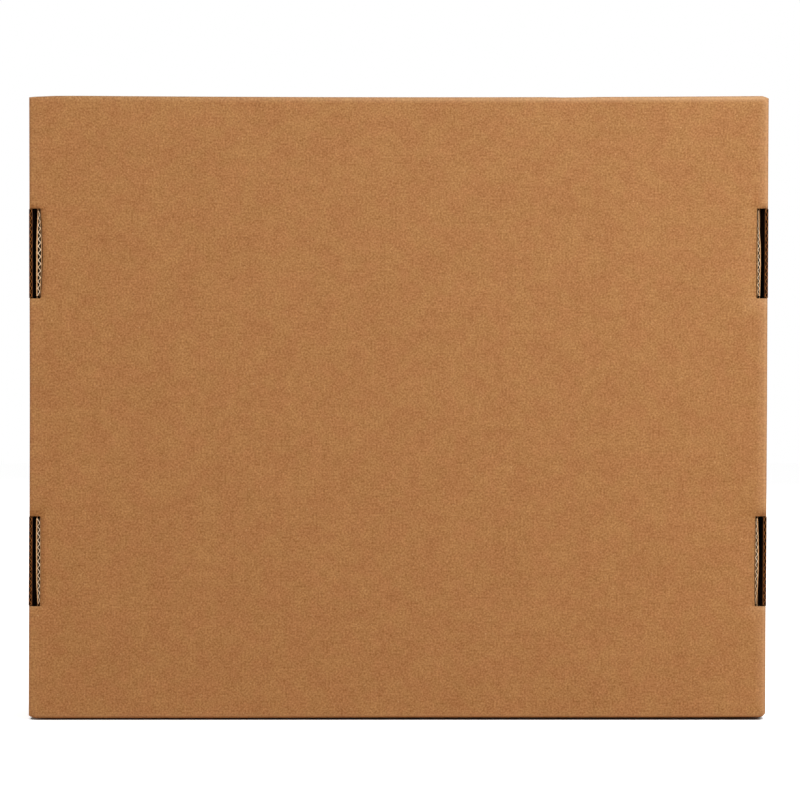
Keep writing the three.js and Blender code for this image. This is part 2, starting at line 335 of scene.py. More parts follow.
# %% Drawing outlines
def rounded(corners):
    """A polyline whose corners (u, v, radius) are rounded."""
    points = []
    for i, (u, v, radius) in enumerate(corners):
        corner = Vector((u, v))
        if radius == 0:
            points.append(corner)
            continue
        back = (Vector(corners[i - 1][:2]) - corner).normalized()
        ahead = (Vector(corners[(i + 1) % len(corners)][:2]) - corner).normalized()
        half_angle = back.angle(ahead) / 2
        centre = corner + (back + ahead).normalized() * (radius / math.sin(half_angle))
        start = corner + back * (radius / math.tan(half_angle)) - centre
        turn = -start.angle_signed(corner + ahead * (radius / math.tan(half_angle)) - centre)
        for step in range(FOLD_STEPS + 1):
            angle = turn * step / FOLD_STEPS
            swung = Vector((
                start.x * math.cos(angle) - start.y * math.sin(angle),
                start.x * math.sin(angle) + start.y * math.cos(angle),
            ))
            points.append(centre + swung)
    return [(p.x, p.y) for p in points]


def mirrored(quarter, back_quarter):
    """A whole loop from its front right quarter and its back right quarter (drawn with v positive)."""
    front_left = [(-u, v) for u, v in reversed(quarter)]
    back_left = [(-u, -v) for u, v in back_quarter]
    back_right = [(u, -v) for u, v in reversed(back_quarter)]
    return quarter + front_left + back_left + back_right


TOOTH = 2.1 * MM
TOOTH_BITE = 0.07 * MM


def toothed(start, end, inset=TOOTH_BITE):
    """A straight cut from start to end, with the scallops of a toothed rule."""
    start, end = Vector(start), Vector(end)
    count = max(2, round((end - start).length / (TOOTH / 4)))
    across = Vector((start.y - end.y, end.x - start.x)).normalized()
    points = []
    for i in range(1, count):
        bite = inset * abs(math.sin(math.pi * (end - start).length * i / count / TOOTH))
        point = start.lerp(end, i / count) + across * bite
        points.append((point.x, point.y))
    return points


# %% The tray's outline and slots
WALL_END = WIDTH / 2 - 0.3 * MM
INNER_END = WIDTH / 2 - BOARD - 0.6 * MM
INNER_FOOT = side[5] + TOP_Z - BEND - BOARD - 0.3 * MM
TAB_END = INNER_FOOT + BOARD + 0.1 * MM
EAR_TIP = ear[1] + WALL_Y - BEND - (WIDTH / 2 - 80 * MM)
EAR_RISE = 7 * MM  # an ear's lower edge rises towards its tip, clear of the lock tabs
EAR_TOP = wall[1] + TOP_Z - HALF - 0.8 * MM - BOTTOM_Z - BEND
FRONT_TOP = wall[1] + DEPTH - 0.4 * MM - BOTTOM_Z - BEND
BACK_TOP = wall[1] + TOP_Z - HALF - 0.3 * MM - BOTTOM_Z - BEND


def tray_quarter(top):
    """The right-hand side of the blank from its far end round to the front or back wall's middle."""
    tab_near, tab_far = TAB_MIDDLE - TAB_HALF, TAB_MIDDLE + TAB_HALF
    corner = [(side[0] + ARC * k / 4, WALL_END) for k in (4, 3, 2, 1, 0)]
    corner += [
        (CORNER_CUT + 0.1 * MM, WALL_END),
        (CORNER_CUT - 0.1 * MM, WALL_END),
        (CORNER_CUT - 0.1 * MM, wall[1] - 0.1 * MM),
    ]
    tab = rounded([
        (INNER_FOOT, tab_near, 0),
        (TAB_END, tab_near, 1.2 * MM),
        (TAB_END, tab_far, 1.2 * MM),
        (INNER_FOOT, tab_far, 0),
    ])
    ear_shape = rounded([
        (ear[0], EAR_FROM, 0),
        (ear[1] + 1 * MM, EAR_FROM, 0),
        (EAR_TIP, EAR_FROM + EAR_RISE, 6 * MM),
        (EAR_TIP - 8 * MM, EAR_TOP, 6 * MM),
        (ear[0], EAR_TOP, 0),
    ])
    return (
        tab
        + [(INNER_FOOT, INNER_END), (side[2], INNER_END), (side[2], WALL_END)]
        + corner
        + ear_shape
        + [(ear[0], top)]
    )


def slot_loop(sign_u, sign_v):
    """One lock slot. The outer wall's standing edge reaches into it between two nicks."""
    near, far = TAB_MIDDLE - SLOT_HALF, TAB_MIDDLE + SLOT_HALF
    edge = toothed((SLOT_SIDE, far), (SLOT_SIDE, near), inset=-TOOTH_BITE)
    bulge = SLOT_BULGE[sign_u, sign_v]
    edge = [(u - bulge * (1 - ((v - TAB_MIDDLE) / SLOT_HALF) ** 2), v) for u, v in edge]
    loop = [
        (SLOT_SIDE, near),
        (side[1], near),
        (side[1], near + SLOT_NICK),
        (WALL_EDGE, near + SLOT_NICK),
        (WALL_EDGE, far - SLOT_NICK),
        (side[1], far - SLOT_NICK),
        (side[1], far),
        (SLOT_SIDE, far),
    ] + edge
    return [(sign_u * u, sign_v * v) for u, v in loop]


tray_loops = [mirrored(tray_quarter(FRONT_TOP), tray_quarter(BACK_TOP))]
for sign_u in (-1, 1):
    for sign_v in (-1, 1):
        tray_loops.append(slot_loop(sign_u, sign_v))

# %% [markdown]
# Cutting the sheet
#
# A flat outline becomes triangles. The fold lines go in as extra edges, so that the sheet bends
# exactly there, and a grid of points between them lets the panels be a little less than flat.

# %% From outlines to triangles
GRID = 9 * MM


def loop_edges(count, first):
    """The edges of a closed loop of points, numbered from first."""
    return [(first + i, first + (i + 1) % count) for i in range(count)]


def distance_to_lines(points, starts, ends):
    """The distance from each point to the nearest of many line pieces."""
    nearest = np.full(len(points), 1e9)
    for a, b in zip(starts, ends):
        along = b - a
        t = np.clip((points - a) @ along / max(along @ along, 1e-18), 0, 1)
        nearest = np.minimum(nearest, np.linalg.norm(points - a - np.outer(t, along), axis=1))
    return nearest


def inside_loops(points, starts, ends):
    """Which points are inside the outline and outside its holes, by the even-odd rule."""
    odd = np.zeros(len(points), bool)
    for a, b in zip(starts, ends):
        if a[1] == b[1]:
            continue
        crosses = (points[:, 1] >= min(a[1], b[1])) & (points[:, 1] < max(a[1], b[1]))
        at = a[0] + (points[:, 1] - a[1]) * (b[0] - a[0]) / (b[1] - a[1])
        odd ^= crosses & (points[:, 0] < at)
    return odd


def in_short_pieces(a, b):
    """The points along a line from a, up to but without b, no further apart than the grid."""
    count = max(1, math.ceil(math.dist(a, b) / GRID))
    return [(a[0] + (b[0] - a[0]) * i / count, a[1] + (b[1] - a[1]) * i / count) for i in range(count)]


def cut_sheet(loops, folds):
    """Points and triangles of a flat sheet, with edges along its folds."""
    loops = [
        [p for a, b in zip(loop, loop[1:] + loop[:1]) for p in in_short_pieces(a, b)]
        for loop in loops
    ]
    points = [p for loop in loops for p in loop]
    edges = []
    first = 0
    for loop in loops:
        edges += loop_edges(len(loop), first)
        first += len(loop)
    outline = np.array(points)
    starts = outline[[a for a, b in edges]]
    ends = outline[[b for a, b in edges]]
    for a, b in folds:
        pieces = in_short_pieces(a, b) + [b]
        edges += [(len(points) + i, len(points) + i + 1) for i in range(len(pieces) - 1)]
        points += pieces
    low, high = outline.min(0), outline.max(0)
    us = np.arange(low[0] + GRID / 2, high[0], GRID)
    vs = np.arange(low[1] + GRID / 2, high[1], GRID)
    grid = np.array([(u, v) for v in vs for u in us])
    fold_starts = np.array([a for a, b in folds]).reshape(-1, 2)
    fold_ends = np.array([b for a, b in folds]).reshape(-1, 2)
    far = distance_to_lines(grid, starts, ends) > 2 * MM
    far &= distance_to_lines(grid, fold_starts, fold_ends) > 1.5 * MM
    points += [tuple(p) for p in grid[far & inside_loops(grid, starts, ends)]]
    placed = [Vector(p) * 1000 for p in points]
    verts, _, faces, *_ = delaunay_2d_cdt(placed, edges, [], 0, 1e-4, False)
    verts = np.array([tuple(v) for v in verts]) / 1000
    faces = np.array(faces)
    middle = verts[faces].mean(1)
    faces = faces[inside_loops(middle, starts, ends)]
    used, faces = np.unique(faces, return_inverse=True)
    return verts[used], faces.reshape(-1, 3)


def crease_lines(upright, places, low, high):
    """Fold lines at several places, from low to high on the sheet's other direction."""
    return [((p, low), (p, high)) if upright else ((low, p), (high, p)) for p in places]


def fold_places(start):
    """Where the lines of one square fold lie on the sheet."""
    return [start + ARC * k / FOLD_STEPS for k in range(FOLD_STEPS + 1)]


# %% The tray's sheet
tray_folds = []
for sign in (-1, 1):
    for start in (side[0], side[2], side[4]):
        places = [sign * p for p in fold_places(start)]
        tray_folds += crease_lines(True, places, -WALL_END, WALL_END)
    rows = [wall[0] - row * MM for row in (3, 1.2)] + fold_places(wall[0])
    tray_folds += crease_lines(False, [sign * p for p in rows], -ear[0], ear[0])
    top = FRONT_TOP if sign > 0 else BACK_TOP
    for sign_u in (-1, 1):
        places = [sign_u * p for p in fold_places(ear[0])]
        low, high = (EAR_FROM, min(EAR_TOP, top)) if sign > 0 else (-min(EAR_TOP, top), -EAR_FROM)
        tray_folds += crease_lines(True, places, low, high)
    for sign_v in (-1, 1):
        low, high = sorted((sign_v * (TAB_MIDDLE - TAB_HALF), sign_v * (TAB_MIDDLE + TAB_HALF)))
        rows = [INNER_FOOT + row * MM for row in (-9, -6, -4, -3, -2.2, -1.4, -0.6, 0.2, 1.0)]
        tray_folds += crease_lines(True, [sign * row for row in rows], low, high)
        rows = [sign_v * p for p in fold_places(wall[0])[:FOLD_STEPS - 1]]
        low, high = sorted((sign * ear[0], sign * (side[1] + 1 * MM)))
        tray_folds += crease_lines(False, rows, low, high)
rows = [wall[1] + row * MM for row in (1, 2.2, 3.5, 5, 8, 13)]
tray_folds += crease_lines(False, rows, -ear[0], ear[0])
tray_sheet = cut_sheet(tray_loops, tray_folds)
print("tray sheet:", len(tray_sheet[0]), "points,", len(tray_sheet[1]), "triangles")

# %% [markdown]
# Making a liner
#
# A liner is a sheet of kraft paper about a quarter of a millimetre thick. It is made as a closed
# shell, with its cut edge as a face of its own, because the cut edge is paler than the paper's
# face. The place on the flat sheet is kept as a UV map, so that the paper's grain runs on through
# the folds, and how near a point is to a crease is kept as an attribute for the wear and the
# painted highlight on creases. A second attribute holds the painted shade deep in hollow walls.

# %% Closed, folded liners
def new_object(name, verts, faces, materials=()):
    """A mesh object in the scene's collection."""
    mesh = bpy.data.meshes.new(name)
    mesh.from_pydata(verts.tolist(), [], faces)
    for material in materials:
        mesh.materials.append(material)
    mesh.update()
    return add_object(name, mesh)


def keep_on_sheet(mesh, flat, crease, shade):
    """Keeps each point's place on the flat sheet as UVs, its nearness to a crease and its painted shade.
    """
    layer = mesh.uv_layers.new(name="sheet")
    corner_verts = np.zeros(len(mesh.loops), int)
    mesh.loops.foreach_get("vertex_index", corner_verts)
    layer.data.foreach_set("uv", flat[corner_verts].ravel())
    for name, values in (("crease", crease), ("shade", shade)):
        attribute = mesh.attributes.new(name, "FLOAT", "POINT")
        attribute.data.foreach_set("value", values)


def no_shade(flat):
    """Shade for a sheet with no part in a hollow wall."""
    return np.zeros(len(flat))


def liner(name, sheet, near, far, fold, crease, materials, shade=no_shade):
    """A closed sheet of paper between two depths of the board, folded.

    Its materials are those of its face, its cut edge, its hidden side and its edge in an outer wall; the
    last two papers are darkened as painted shade.
    """
    flat, faces = sheet
    count = len(flat)
    bottom = fold(flat[:, 0], flat[:, 1], np.full(count, near))
    top = fold(flat[:, 0], flat[:, 1], np.full(count, far))
    edges = {}
    for a, b, c in faces.tolist():
        for edge in ((a, b), (b, c), (c, a)):
            edges[edge] = True
    rim = [(a, b) for a, b in edges if (b, a) not in edges]
    all_faces = [(c, b, a) for a, b, c in faces.tolist()]
    all_faces += [(a + count, b + count, c + count) for a, b, c in faces.tolist()]
    first_rim = len(all_faces)
    all_faces += [(a, b, b + count, a + count) for a, b in rim]
    obj = new_object(name, np.vstack([bottom, top]), all_faces, materials)
    material_index = np.zeros(len(all_faces), int)
    # The hidden side takes the third paper, darkened as painted shade.
    first_hidden = 0 if abs(near) < abs(far) else len(faces)
    material_index[first_hidden:first_hidden + len(faces)] = 2
    # Rims at an outer wall's standing edge take the fourth paper, darkened as painted shade.
    rim_middle = np.abs(flat[np.array(rim)]).mean(1)
    in_wall = np.abs(rim_middle[:, 0] - WALL_EDGE) < 0.05 * MM
    material_index[first_rim:] = np.where(in_wall & (len(materials) > 3), 3, 1)
    obj.data.polygons.foreach_set("material_index", material_index)
    keep_on_sheet(obj.data, np.vstack([flat, flat]), np.tile(crease(flat), 2), np.tile(shade(flat), 2))
    smooth = np.ones(len(all_faces), bool)
    smooth[first_rim:] = False
    obj.data.polygons.foreach_set("use_smooth", smooth)
    print(f"{name}: {len(all_faces)} faces")
    return obj


# %% [markdown]
# Kraft paper
#
# Kraft liner is unbleached wood pulp: a warm brown with a fine, even mottle of lighter and darker
# fibre flocs one to four millimetres across, a few pale shives and dark specks, and hardly any
# shine. Creases are paler, because bending lifts and stretches the fibres; here that paleness is
# also a painted highlight, stronger on the side where the light falls.

# %% Helpers for materials
def linear(red, green, blue):
    """A colour picked in 0 to 255 steps, as light."""
    steps = [c / 255 for c in (red, green, blue)]
    light = [c / 12.92 if c <= 0.04045 else ((c + 0.055) / 1.055) ** 2.4 for c in steps]
    return (*light, 1)


def new_material(name):
    """A material with its node tree, and its surface shader."""
    material = bpy.data.materials.new(name)
    material.use_nodes = True
    shader = material.node_tree.nodes["Principled BSDF"]
    return material, material.node_tree, shader


def add_node(tree, kind, **values):
    """A node, with inputs set by name."""
    node = tree.nodes.new(kind)
    for name, value in values.items():
        node.inputs[name.replace("_", " ")].default_value = value
    return node


def put(tree, socket, value):
    """Gives an input a plain value, or links it to another node's output."""
    if isinstance(value, bpy.types.NodeSocket):
        tree.links.new(value, socket)
    else:
        socket.default_value = value


def attribute(tree, name):
    """The value that an attribute of the mesh has at each point."""
    node = tree.nodes.new("ShaderNodeAttribute")
    node.attribute_name = name
    return node.outputs["Fac"]


def map_range(tree, value, low, high, to_low=0, to_high=1):
    """A value stretched from low..high to to_low..to_high, and no further."""
    node = tree.nodes.new("ShaderNodeMapRange")
    for i, given in enumerate((value, low, high, to_low, to_high)):
        put(tree, node.inputs[i], given)
    return node.outputs[0]


def math_node(tree, operation, *values):
    """A node for one sum. Each value may be a socket or a plain number."""
    node = tree.nodes.new("ShaderNodeMath")
    node.operation = operation
    for socket, value in zip(node.inputs, values):
        put(tree, socket, value)
    return node.outputs[0]


def noise(tree, vector, scale, detail, roughness, low, high, to_low=0, to_high=1):
    """Fractal noise, stretched from low..high to to_low..to_high."""
    texture = add_node(tree, "ShaderNodeTexNoise", Scale=scale, Detail=detail, Roughness=roughness)
    tree.links.new(vector, texture.inputs["Vector"])
    return map_range(tree, texture.outputs["Fac"], low, high, to_low, to_high)


def mix_colour(tree, how, factor, first, second):
    """Two colours mixed. Each may be a socket or a plain value."""
    node = tree.nodes.new("ShaderNodeMix")
    node.data_type = "RGBA"
    node.blend_type = how
    for i, value in ((0, factor), (6, first), (7, second)):
        put(tree, node.inputs[i], value)
    return node.outputs[2]


# The colour that painted shade reaches deep in a hollow wall.
NEARLY_BLACK = (0.011, 0.003, 0.001, 1)
HALFWAY_SHADE = 0.4


def shaded(tree, colour, halfway=None):
    """A colour with painted shade: near black where the shade attribute says that it is deep in a hollow
    wall.

    It can pass through another colour, halfway.
    """
    shade = attribute(tree, "shade")
    start = 0
    if halfway:
        start = HALFWAY_SHADE
        colour = mix_colour(tree, "MIX", map_range(tree, shade, 0, start), colour, halfway)
    return mix_colour(tree, "MIX", map_range(tree, shade, start, 1), colour, NEARLY_BLACK)


# %% Kraft liner
# How many features of each kind of noise fit in a metre of sheet.
FLOCS, CLOUDS, DRIFTS, BLOTCHES = 1080, 210, 45, 90
SPECKS, SHIVES, GRAIN = 1100, 900, 650
CLOUD_SHARE, DRIFT_SHARE = 0.11, 0.055  # of the mottle's whole range, to either side


def kraft_paper(name, colour, spread, crease_colour, crease_share):
    """Kraft paper: mottled fibre, soft blotches, specks, and paler creases.

    The creases' paleness is partly wear and partly a painted highlight. The mottle runs from the colour
    less spread to the colour plus spread, in 0 to 255 steps.
    """
    material, tree, shader = new_material(name)
    sheet = tree.nodes.new("ShaderNodeUVMap")
    sheet.uv_map = "sheet"
    place = sheet.outputs[0]
    flocs = noise(tree, place, FLOCS, 2, 0.55, 0.2, 0.8)
    clouds = noise(tree, place, CLOUDS, 2, 0.5, 0.2, 0.8, -CLOUD_SHARE, CLOUD_SHARE)
    drifts = noise(tree, place, DRIFTS, 2, 0.5, 0.2, 0.8, -DRIFT_SHARE, DRIFT_SHARE)
    for layer in (clouds, drifts):
        flocs = math_node(tree, "ADD", flocs, layer)
    darker = linear(*(c - spread for c in colour))
    lighter = linear(*(c + spread for c in colour))
    base = mix_colour(tree, "MIX", flocs, darker, lighter)
    blotch = noise(tree, place, BLOTCHES, 2, 0.5, 0.4, 0.6)
    tint = mix_colour(tree, "MIX", blotch, (1.004, 0.974, 0.995, 1), (0.996, 1.026, 1.005, 1))
    base = mix_colour(tree, "MULTIPLY", 1.0, base, tint)
    specks = noise(tree, place, SPECKS, 1, 0.4, 0.7, 0.78, 0, 0.35)
    base = mix_colour(tree, "MIX", specks, base, linear(84, 52, 28))
    shives = noise(tree, place, SHIVES, 1, 0.4, 0.71, 0.8, 0, 0.5)
    base = mix_colour(tree, "MIX", shives, base, linear(214, 176, 128))
    # Paler creases: partly real wear, partly a painted highlight.
    wear_and_highlight_share = math_node(tree, "MULTIPLY", attribute(tree, "crease"), crease_share)
    base = mix_colour(tree, "MIX", wear_and_highlight_share, base, crease_colour)
    # Painted shade, deep in the hollow side walls.
    tree.links.new(shaded(tree, base), shader.inputs["Base Color"])
    shader.inputs["Roughness"].default_value = 0.76
    shader.inputs["Specular IOR Level"].default_value = 0.45
    bump = add_node(tree, "ShaderNodeBump", Strength=0.25, Distance=0.0001)
    tree.links.new(noise(tree, place, GRAIN, 5, 0.65, 0, 1), bump.inputs["Height"])
    tree.links.new(bump.outputs[0], shader.inputs["Normal"])
    return material


kraft_outside = kraft_paper("kraft_outside", (164, 114, 61), 31, linear(226, 186, 144), 0.6)
kraft_inside = kraft_paper("kraft_inside", (178, 132, 83), 30, linear(206, 166, 122), 0.25)

# %% Cut paper and the fluted medium
def plain_paper(name, colour, darker, scale, with_shade=True, halfway=None):
    """Paper seen at its cut edge or as the medium: one colour with a fine mottle. With with_shade it takes
    painted shade from the shade attribute, through halfway if given.
    """
    material, tree, shader = new_material(name)
    place = tree.nodes.new("ShaderNodeTexCoord").outputs["Object"]
    mottle = noise(tree, place, scale, 3, 0.6, 0.3, 0.7)
    base = mix_colour(tree, "MIX", mottle, colour, darker)
    if with_shade:
        base = shaded(tree, base, halfway)
    tree.links.new(base, shader.inputs["Base Color"])
    shader.inputs["Roughness"].default_value = 0.95
    shader.inputs["Specular IOR Level"].default_value = 0.15
    return material


# Cut edges take painted shade from the shade attribute where they lie deep in a hollow wall.
cut_paper = plain_paper("cut_paper", linear(232, 190, 142), linear(196, 150, 104), 900)
# The outer walls' standing edges: cut paper given a dark brown as painted shade.
wall_edge_painted_shade = plain_paper("wall_edge_painted_shade", linear(142, 90, 46), linear(78, 46, 24), 700, False)
# The liners' hidden sides, facing the flutes, are given a dark brown as painted shade.
hidden_side_painted_shade = plain_paper("hidden_side_painted_shade", linear(66, 40, 22), linear(44, 26, 14), 500, False)
# The medium's halfway brown and its near black are painted shade, in the flutes' cells and the hollow
# walls.
fluted_paper = plain_paper(
    "fluted_medium", linear(250, 238, 216), linear(212, 186, 150), 500, halfway=linear(158, 102, 54)
)

# %% The tray's two liners
# Creases pale partly from real wear and partly as a painted highlight, stronger on the right-hand folds
# and towards the top fold's right end, where the light falls.
WEAR_AND_HIGHLIGHT_REACH = 1.3 * MM
FOOT_WEAR_AND_HIGHLIGHT, LEFT_WEAR_AND_HIGHLIGHT, RIGHT_WEAR_AND_HIGHLIGHT = 0.3, 0.1, 0.45
TOP_WEAR_AND_HIGHLIGHT, TOP_HIGHLIGHT_SLOPE = 0.4, 0.35  # at its middle, and how much more at its right end
# Painted shade for the ears, hidden between the two layers of a side wall.
EAR_SHADE = 0.93  # nearly dark, between the two layers of a side wall


def tray_shade(flat):
    """Painted shade of each point of the tray's sheet, from 0 to 1: dark in a hollow side wall, clearing
    towards the tabs' ends.
    """
    u, v = np.abs(flat[:, 0]), np.abs(flat[:, 1])
    places = [side[0], side[0] + 0.4 * MM, INNER_FOOT - 6 * MM, INNER_FOOT - 1 * MM]
    shade = np.interp(u, places, [0, 0.95, 0.95, 0])
    return np.where((v > EAR_FROM) & (u > ear[1]), EAR_SHADE, shade * (v < EAR_FROM))


def ear_shade(flat):
    """Painted shade for the outer liner, of which only the ears are in a hollow wall."""
    u, v = np.abs(flat[:, 0]), np.abs(flat[:, 1])
    return np.where((v > EAR_FROM) & (u > ear[1]), EAR_SHADE, 0)


def near_crease(distance):
    """Wear and painted highlight, from 1 on a crease to 0 where its reach ends."""
    return np.clip(1 - np.abs(distance) / WEAR_AND_HIGHLIGHT_REACH, 0, 1)


def tray_crease(flat):
    """How much a crease pales each point of the tray's sheet, from 0 to 1.

    The paleness is partly wear and partly a painted highlight, stronger on the right-hand folds and
    towards the right end of the top fold, where the light falls.
    """
    u, v = np.abs(flat[:, 0]), np.abs(flat[:, 1])
    top = TOP_WEAR_AND_HIGHLIGHT + TOP_HIGHLIGHT_SLOPE * flat[:, 0] / (LENGTH / 2)
    strength = np.where(flat[:, 1] > 0, FOOT_WEAR_AND_HIGHLIGHT, top)
    wear_and_highlight = np.where(u < ear[0] + 2 * MM, near_crease(v - wall[0] - ARC / 3) * strength, 0)
    strength = np.where(flat[:, 0] > 0, RIGHT_WEAR_AND_HIGHLIGHT, LEFT_WEAR_AND_HIGHLIGHT)
    for start in (side[0], side[2], side[4]):
        near = near_crease(u - start - ARC / 3)
        wear_and_highlight = np.maximum(wear_and_highlight, np.where(v < WALL_END, strength * near, 0))
    near = near_crease(u - ear[0] - ARC / 2)
    return np.maximum(wear_and_highlight, np.where(v > EAR_FROM, near, 0))


LAYERS = {"outer": (-HALF, -HALF + LINER, kraft_outside), "inner": (HALF - LINER, HALF, kraft_inside)}


def part_liner(part, layer, sheet, fold, crease, *edge_paper, shade=no_shade):
    """A part's outer or inner liner."""
    near, far, face = LAYERS[layer]
    papers = [face, cut_paper, hidden_side_painted_shade, *edge_paper]
    return liner(f"{part}_{layer}_liner", sheet, near, far, fold, crease, papers, shade)


tray_form = (tray_sheet, fold_tray, tray_crease, wall_edge_painted_shade)
tray_outside = part_liner("tray", "outer", *tray_form, shade=ear_shade)
tray_inside = part_liner("tray", "inner", *tray_form, shade=tray_shade)

# %% [markdown]
# The lid and its tuck flap
#
# The lid is one more panel of the same sheet, beyond the back wall. Its dust flaps fold down inside
# the side walls, and the tuck flap behind the front wall. The lid turns on the back wall's crease
# and the tuck flap on the lid's, and the outer liner runs on round each crease as a round edge.

# %% Folding the lid and the tuck flap
DUST_X = LENGTH / 2 - SIDE_DEPTH - 0.5 * MM - HALF
TUCK_Y = WIDTH / 2 - BOARD - 1.2 * MM - HALF
LID_CHAIN = [("run", DUST_X - BEND), SQUARE_FOLD, ("run", DEPTH)]
dust = reaches(LID_CHAIN)
ROUND = math.pi * HALF  # length of liner round a board's edge
CRUSH_TURN = math.radians(13.5)  # half the angle between the lid and its tuck flap, folded in
CRUSH_EDGE = HALF + 0.3 * MM
CRUSH_GAP = 0.15 * MM
CRUSH_REACH = (HALF + CRUSH_GAP) / math.tan(CRUSH_TURN)
CRUSH_LEFT = CRUSH_EDGE * math.tan(CRUSH_TURN) - CRUSH_GAP
LID_FRONT = TUCK_Y - CRUSH_EDGE


def crushed(n, room):
    """Depths in the board where its inner face is pressed in to leave only some room."""
    return np.where(n > 0, n - (HALF - room), n)


def fold_lid(u, v, n):
    """The folded place of the lid's sheet. v runs from its front, negative, to its hinge."""
    y = -v
    room = np.interp(y, [TUCK_Y - CRUSH_REACH, LID_FRONT], [HALF, CRUSH_LEFT])
    n = crushed(n, room)
    place = walk(LID_CHAIN, (0, 0), np.abs(u), n)
    x, z = np.sign(u) * place[:, 0], TOP_Z - place[:, 1]
    wrapped = v > WALL_Y
    angle = (v[wrapped] - WALL_Y) / HALF
    y[wrapped] = -WALL_Y + n[wrapped] * np.sin(angle)
    z[wrapped] = TOP_Z - n[wrapped] * np.cos(angle)
    return stand_up(x, y, z)


def fold_tuck(u, v, n):
    """The folded place of the tuck flap's sheet. v runs down from the crease, negative."""
    z = TOP_Z + v
    reach = [TOP_Z - CRUSH_REACH, TOP_Z - CRUSH_EDGE, TOP_Z]
    n = crushed(n, np.interp(z, reach, [HALF, CRUSH_LEFT, HALF]))
    y = TUCK_Y - n
    wrapped = v > 0
    angle = v[wrapped] / HALF
    y[wrapped] = TUCK_Y - n[wrapped] * np.cos(angle)
    z[wrapped] = TOP_Z - n[wrapped] * np.sin(angle)
    return stand_up(u, y, z)


# %% Their blanks
LID_FRONT_V = -LID_FRONT
DUST_FOOT = dust[1] + TOP_Z - BEND - BOARD - 16 * MM
DUST_BACK = WALL_Y - 8 * MM
DUST_FRONT = -(WIDTH / 2 - BOARD - 11 * MM)
TUCK_HALF = DUST_X - HALF - 0.9 * MM
TUCK_FOOT = -(TOP_Z - BOARD - 27 * MM)


def lid_loop(hinge_end):
    """The lid with its dust flaps. hinge_end is where the liner stops at the hinge."""
    right = [
        (dust[0], LID_FRONT_V),
        (dust[0], DUST_FRONT),
    ] + rounded([
        (dust[1], DUST_FRONT, 0),
        (DUST_FOOT, DUST_FRONT + 14 * MM, 14 * MM),
        (DUST_FOOT, DUST_BACK - 14 * MM, 14 * MM),
        (dust[1], DUST_BACK, 0),
    ]) + [(dust[0], DUST_BACK), (dust[0], hinge_end)]
    return right + [(-u, v) for u, v in reversed(right)]


def tuck_loop(crease_end):
    """The tuck flap. crease_end is where the liner stops at the crease."""
    right = rounded([
        (0, TUCK_FOOT, 0),
        (TUCK_HALF - 10 * MM, TUCK_FOOT, 18 * MM),
        (TUCK_HALF, -BOARD, 0),
        (TUCK_HALF, crease_end, 0),
    ])
    return right + [(-u, v) for u, v in reversed(right) if u > 0]


def lid_crease(flat):
    """How close each point of the lid's sheet is to a crease, from 0 to 1."""
    u, v = np.abs(flat[:, 0]), flat[:, 1]
    near = np.abs(u - dust[0] - ARC / 2)
    near = np.minimum(near, np.abs(v - WALL_Y - ROUND / 4))
    near = np.minimum(near, np.abs(v - LID_FRONT_V))
    return near_crease(near)


def tuck_crease(flat):
    """How close each point of the tuck flap's sheet is to its crease, from 0 to 1."""
    return near_crease(flat[:, 1] - ROUND / 4)


lid_folds = []
for sign in (-1, 1):
    lid_folds += crease_lines(True, [sign * p for p in fold_places(dust[0])], DUST_FRONT, DUST_BACK)
lid_folds += crease_lines(False, [-(TUCK_Y - CRUSH_REACH)], -dust[0], dust[0])
round_places = [ROUND * k / 10 for k in range(10)]
lid_edge = crease_lines(False, [WALL_Y + p for p in round_places], -dust[0], dust[0])
tuck_folds = crease_lines(False, [-CRUSH_REACH, -CRUSH_EDGE], -TUCK_HALF, TUCK_HALF)
tuck_edge = crease_lines(False, round_places, -TUCK_HALF, TUCK_HALF)

lid_outer_sheet = cut_sheet([lid_loop(WALL_Y + ROUND)], lid_folds + lid_edge)
lid_outside = part_liner("lid", "outer", lid_outer_sheet, fold_lid, lid_crease)
lid_inner_sheet = cut_sheet([lid_loop(WALL_Y)], lid_folds)
lid_inside = part_liner("lid", "inner", lid_inner_sheet, fold_lid, lid_crease)
tuck_outer_sheet = cut_sheet([tuck_loop(ROUND)], tuck_folds + tuck_edge)
tuck_outside = part_liner("tuck", "outer", tuck_outer_sheet, fold_tuck, tuck_crease)
tuck_inner_sheet = cut_sheet([tuck_loop(0)], tuck_folds)
tuck_inside = part_liner("tuck", "inner", tuck_inner_sheet, fold_tuck, tuck_crease)

# %% [markdown]
# The fluted medium
#
# Between the liners runs a third paper, pressed into flutes like a row of small arches. It only
# shows where the board is cut: edges across the flutes show open arches, seven to the inch. One
# Geometry Nodes tree makes a strip of medium behind any cut edge: it sweeps a thin profile along
# the edge and lifts it into waves. The flat strip is folded with the sheet afterwards.

